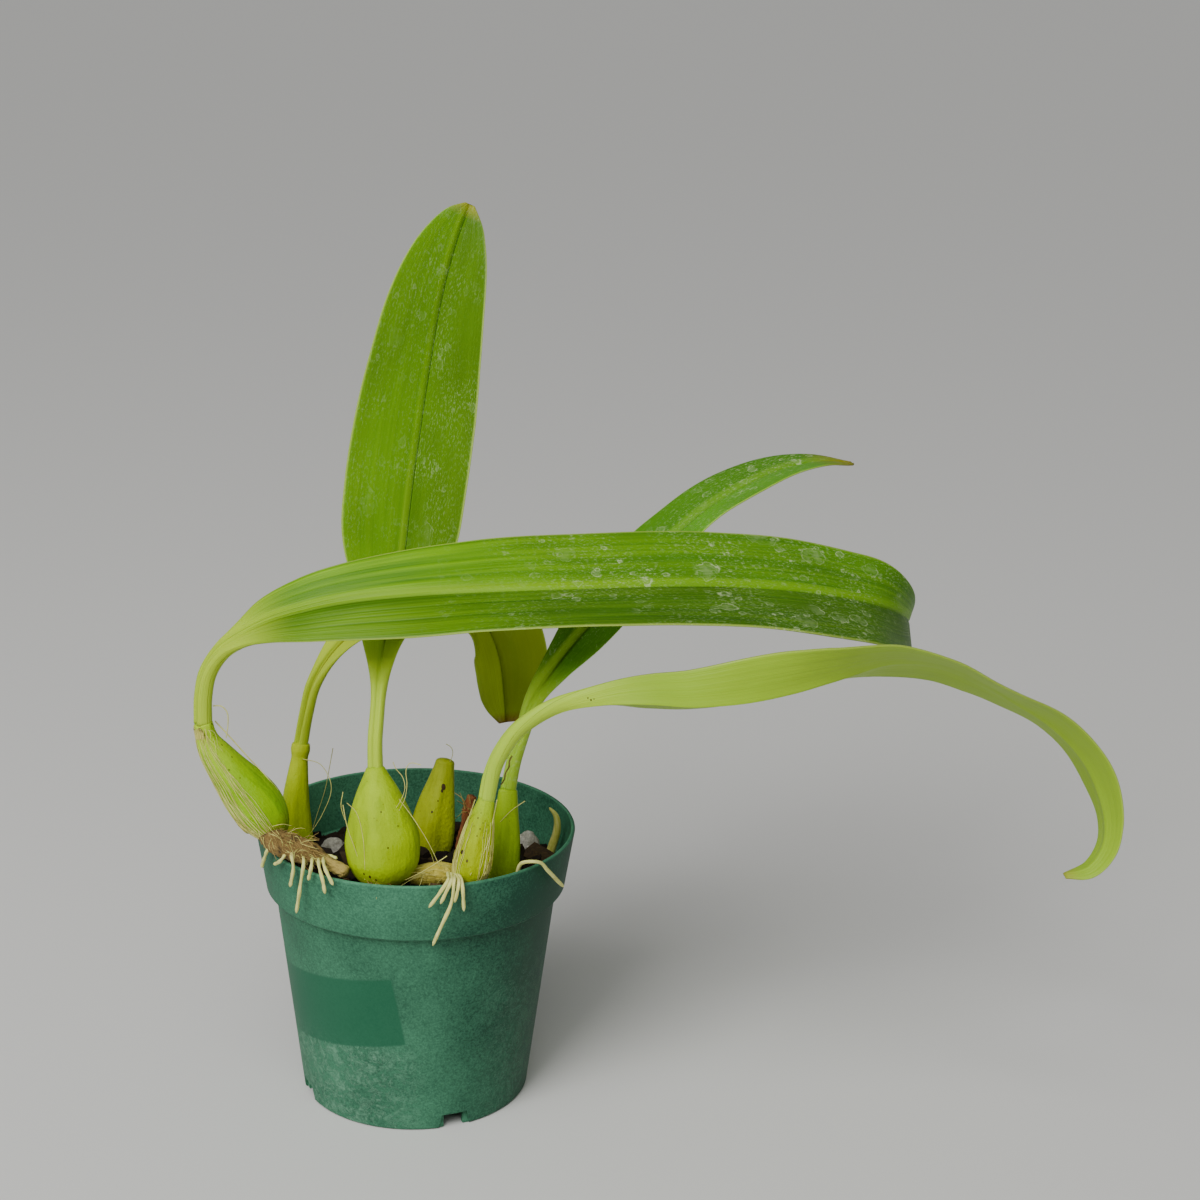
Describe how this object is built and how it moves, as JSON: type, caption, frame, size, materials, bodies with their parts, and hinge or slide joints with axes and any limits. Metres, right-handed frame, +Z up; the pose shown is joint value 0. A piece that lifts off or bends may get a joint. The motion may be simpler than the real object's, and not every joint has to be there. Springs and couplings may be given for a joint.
{
  "type": "potted bulbophyllum lobbii orchid",
  "caption": "Creeping orchid out of flower in a round green nursery pot: plump pseudobulbs, each with one long strap leaf, on rhizomes at the lip, in bark mix.",
  "frame": {"origin": "middle of the underside of the pot's flat central pad, on the surface that the pot stands on", "axes": "+Z up along the pot's axis, +X to the right, where the long leaves arch out, +Y to the back, away from the leaves' rhizomes on the front lip"},
  "size_m": [0.2842, 0.1274, 0.2832],
  "materials": {
    "pot_plastic": "thin matte injection-moulded plastic, dusty, with a film of dried minerals",
    "bark_mix": "coarse damp bark chips and dark crumbs, matte",
    "pumice": "rough porous white-grey stone",
    "pseudobulb": "smooth, waxy, slightly glossy living skin with faint lengthwise ribs",
    "leaf_green": "thick leathery leaf with a satin sheen, fine veins and white mineral spots",
    "leaf_pale": "pale matte underside of a leathery leaf",
    "leaf_olive": "ageing yellow-olive leathery leaf, satin",
    "leaf_dark": "deep green leathery leaf with mineral spots, satin",
    "rhizome": "dry fibrous straw-brown sheaths with cream root tips",
    "sprout": "smooth pale young shoot",
    "dry_stem": "dry reddish-brown stem, matte",
    "root": "cream spongy root skin, matte"
  },
  "bodies": {
    "root": {"pot": "pot_plastic", "potting_mix": "bark_mix", "pumice_right": "pumice", "pumice_left": "pumice", "pumice_back": "pumice", "pseudobulb_left_front": "pseudobulb", "pseudobulb_left_rear": "pseudobulb", "pseudobulb_centre": "pseudobulb", "pseudobulb_rear": "pseudobulb", "pseudobulb_right_front": "pseudobulb", "pseudobulb_right_rear": "pseudobulb", "leaf_left_front": "leaf_green", "leaf_centre": "leaf_green", "leaf_right_front": "leaf_pale", "leaf_left_rear": "leaf_olive", "leaf_right_rear": "leaf_dark", "rhizome_left": "rhizome", "rhizome_right": "rhizome", "sprout": "sprout", "flower_stub": "dry_stem", "root_over_rim": "root"}
  },
  "joints": []
}
